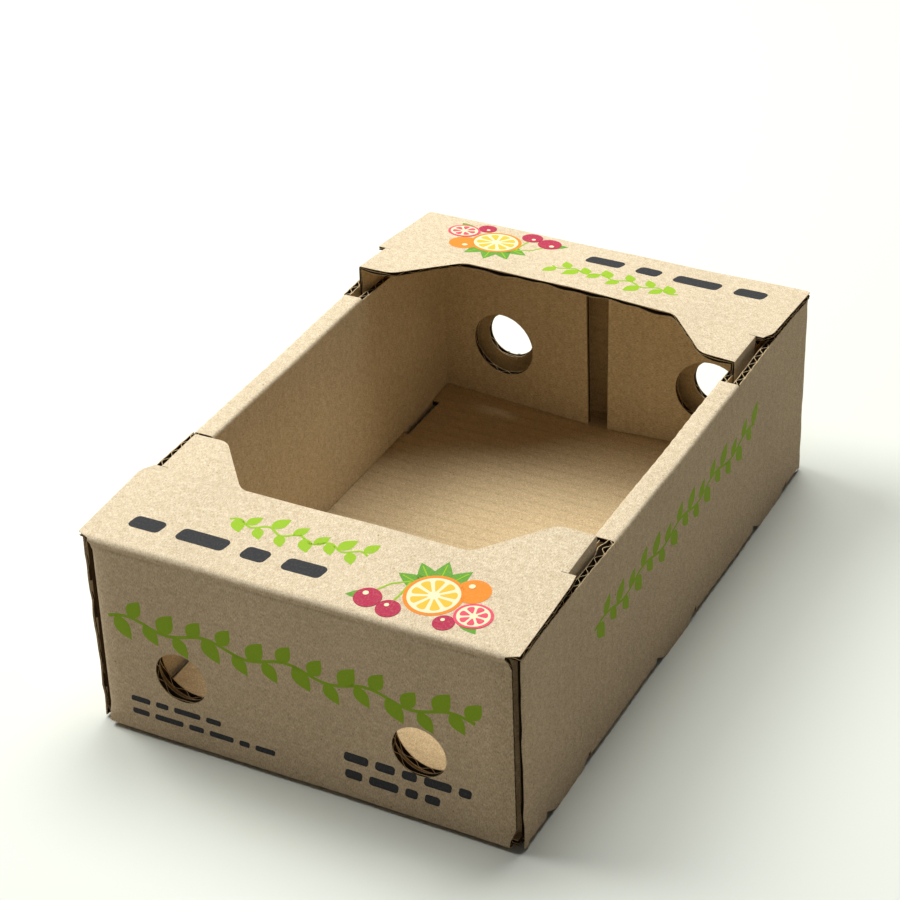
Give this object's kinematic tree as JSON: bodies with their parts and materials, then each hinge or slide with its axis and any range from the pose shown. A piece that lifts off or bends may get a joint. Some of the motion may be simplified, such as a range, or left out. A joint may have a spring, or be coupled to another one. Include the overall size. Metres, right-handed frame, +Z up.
{
  "type": "cardboard tray box",
  "caption": "Open corrugated tray box with hollow double walls, round vent holes, and a notched tuck flange folded in over each end.",
  "frame": {"origin": "on the ground under the middle of the tray", "axes": "+X across the tray, +Y along it from the front end to the back end, +Z up"},
  "size_m": [0.18, 0.28, 0.0954],
  "materials": {
    "kraft_board": "uncoated brown kraft liner, matte, with faint flute lines"
  },
  "bodies": {
    "tray": {"tray_body": "kraft_board"},
    "front_flap": {"front_flange": "kraft_board"},
    "back_flap": {"back_flange": "kraft_board"}
  },
  "joints": [
    {"name": "front_flange_crease", "type": "hinge", "parent": "tray", "child": "front_flap", "pos_m": [0, -0.13918, 0.08648], "axis": [1, 0, 0], "range_deg": [0, 86]},
    {"name": "back_flange_crease", "type": "hinge", "parent": "tray", "child": "back_flap", "pos_m": [0, 0.13918, 0.08648], "axis": [-1, 0, 0], "range_deg": [0, 83.5]}
  ]
}
